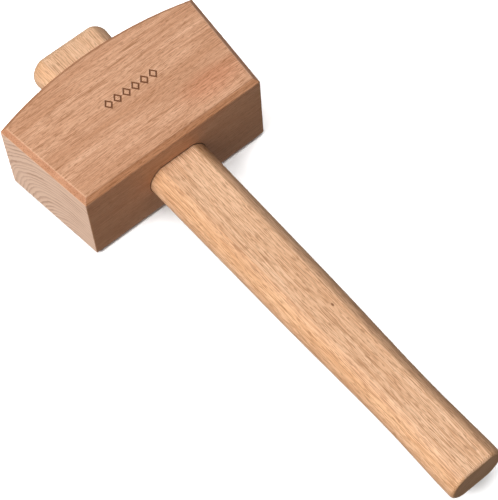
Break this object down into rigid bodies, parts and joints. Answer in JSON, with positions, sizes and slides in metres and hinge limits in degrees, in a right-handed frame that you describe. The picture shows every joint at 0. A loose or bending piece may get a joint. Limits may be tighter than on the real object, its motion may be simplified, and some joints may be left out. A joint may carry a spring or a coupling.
{
  "type": "joiner's mallet",
  "caption": "Wooden joiner's mallet: arched beech head with leaning striking faces and a through mortise, and a wedge-topped beech handle that drops in from above.",
  "frame": {"origin": "centre of the head's broad back face, the face the mallet lies on", "axes": "+X along the head from one striking face to the other, +Y up the handle from the hand to the head, +Z out of the head's front face"},
  "size_m": [0.135, 0.346, 0.057],
  "materials": {
    "head_beech": "planed and sanded steamed beech, bare or lightly oiled, dull satin",
    "handle_beech": "sanded pale beech, bare, dull satin"
  },
  "bodies": {
    "head": {"head": "head_beech"},
    "handle": {"handle": "handle_beech"}
  },
  "joints": [
    {"name": "handle_knock_out", "type": "slide", "parent": "head", "child": "handle", "axis": [0, 1, 0], "range_m": [0, 0.241]}
  ]
}
